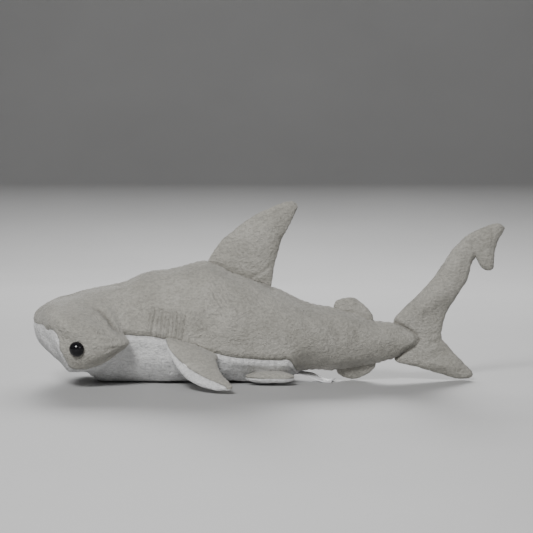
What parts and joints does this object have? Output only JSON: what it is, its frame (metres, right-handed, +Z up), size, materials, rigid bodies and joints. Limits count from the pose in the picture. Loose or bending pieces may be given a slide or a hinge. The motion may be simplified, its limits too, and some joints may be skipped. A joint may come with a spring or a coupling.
{
  "type": "plush hammerhead shark",
  "caption": "Stuffed toy hammerhead shark lying on its belly, grey above and white below, with sewn-on padded fins, safety eyes and a blank label.",
  "frame": {"origin": "centre of the bounding box's bottom face, on the surface that the belly lies on", "axes": "+X from nose to tail, +Z up; the shark's left side, the one with the label's near edge, faces -Y"},
  "size_m": [0.45, 0.22, 0.172],
  "materials": {
    "grey_plush": "short pile plush, soft and matte",
    "white_plush": "short pile plush, soft and matte",
    "fibre_filling": "loose polyester fibre",
    "white_thread": "polyester sewing thread",
    "grey_thread": "polyester sewing thread",
    "label_satin": "woven satin, slight sheen",
    "eye_plastic": "polished",
    "washer_plastic": "moulded, matte"
  },
  "bodies": {
    "torso": {"side_panel_left": "grey_plush", "side_panel_right": "grey_plush", "head_underside_panel": "white_plush", "belly_panel": "white_plush", "body_filling": "fibre_filling", "mouth_stitching": "white_thread", "eye_left": "eye_plastic", "eye_right": "eye_plastic", "eye_washer_left": "washer_plastic", "eye_washer_right": "washer_plastic", "gill_stitching_left": "grey_thread", "gill_stitching_right": "grey_thread"},
    "dorsal_fin": {"dorsal_fin_panel_left": "grey_plush", "dorsal_fin_panel_right": "grey_plush", "dorsal_fin_filling": "fibre_filling"},
    "rear_dorsal_fin": {"rear_dorsal_panel_left": "grey_plush", "rear_dorsal_panel_right": "grey_plush"},
    "pectoral_fin_left": {"pectoral_top_left": "grey_plush", "pectoral_under_left": "white_plush", "pectoral_filling_left": "fibre_filling"},
    "pectoral_fin_right": {"pectoral_top_right": "grey_plush", "pectoral_under_right": "white_plush", "pectoral_filling_right": "fibre_filling"},
    "pelvic_fin_left": {"pelvic_top_left": "grey_plush", "pelvic_under_left": "white_plush"},
    "pelvic_fin_right": {"pelvic_top_right": "grey_plush", "pelvic_under_right": "white_plush"},
    "anal_fin": {"anal_fin_panel_left": "grey_plush", "anal_fin_panel_right": "grey_plush"},
    "tail_fin": {"tail_fin_panel_left": "grey_plush", "tail_fin_panel_right": "grey_plush", "tail_fin_filling": "fibre_filling"},
    "label": {"care_label": "label_satin"}
  },
  "joints": [
    {"name": "dorsal_fin_fold", "type": "hinge", "parent": "torso", "child": "dorsal_fin", "pos_m": [-0.059, 0, 0.1172], "axis": [0.9269, 0, -0.3753], "range_deg": [-40, 40], "stiffness_Nm_per_rad": 0.1},
    {"name": "rear_dorsal_fin_fold", "type": "hinge", "parent": "torso", "child": "rear_dorsal_fin", "pos_m": [0.062, 0, 0.0722], "axis": [0.9557, 0, -0.2943], "range_deg": [-40, 40], "stiffness_Nm_per_rad": 0.02},
    {"name": "anal_fin_fold", "type": "hinge", "parent": "torso", "child": "anal_fin", "pos_m": [0.065, 0, 0.0084], "axis": [0.9863, 0, 0.1653], "range_deg": [-35, 35], "stiffness_Nm_per_rad": 0.02},
    {"name": "pectoral_fin_fold_left", "type": "hinge", "parent": "torso", "child": "pectoral_fin_left", "pos_m": [-0.096, -0.0515, 0.0425], "axis": [-0.9456, 0.0099, 0.3251], "range_deg": [-20, 55], "stiffness_Nm_per_rad": 0.1},
    {"name": "pectoral_fin_fold_right", "type": "hinge", "parent": "torso", "child": "pectoral_fin_right", "pos_m": [-0.096, 0.0515, 0.0425], "axis": [0.9456, 0.0099, -0.3251], "range_deg": [-20, 55], "stiffness_Nm_per_rad": 0.1},
    {"name": "pelvic_fin_fold_left", "type": "hinge", "parent": "torso", "child": "pelvic_fin_left", "pos_m": [-0.016, -0.035, 0.0066], "axis": [-0.998, -0.0587, -0.0235], "range_deg": [-45, 8], "stiffness_Nm_per_rad": 0.02},
    {"name": "pelvic_fin_fold_right", "type": "hinge", "parent": "torso", "child": "pelvic_fin_right", "pos_m": [-0.016, 0.035, 0.0066], "axis": [0.998, -0.0587, 0.0235], "range_deg": [-45, 8], "stiffness_Nm_per_rad": 0.02},
    {"name": "tail_fin_swing", "type": "hinge", "parent": "torso", "child": "tail_fin", "pos_m": [0.122, 0, 0.039], "axis": [0, 0, 1], "range_deg": [-35, 35], "stiffness_Nm_per_rad": 0.3},
    {"name": "label_fold", "type": "hinge", "parent": "torso", "child": "label", "pos_m": [0.0305, -0.002, 0.0074], "axis": [0.2695, 0.9626, 0.0289], "range_deg": [-8, 60], "stiffness_Nm_per_rad": 0.01}
  ]
}
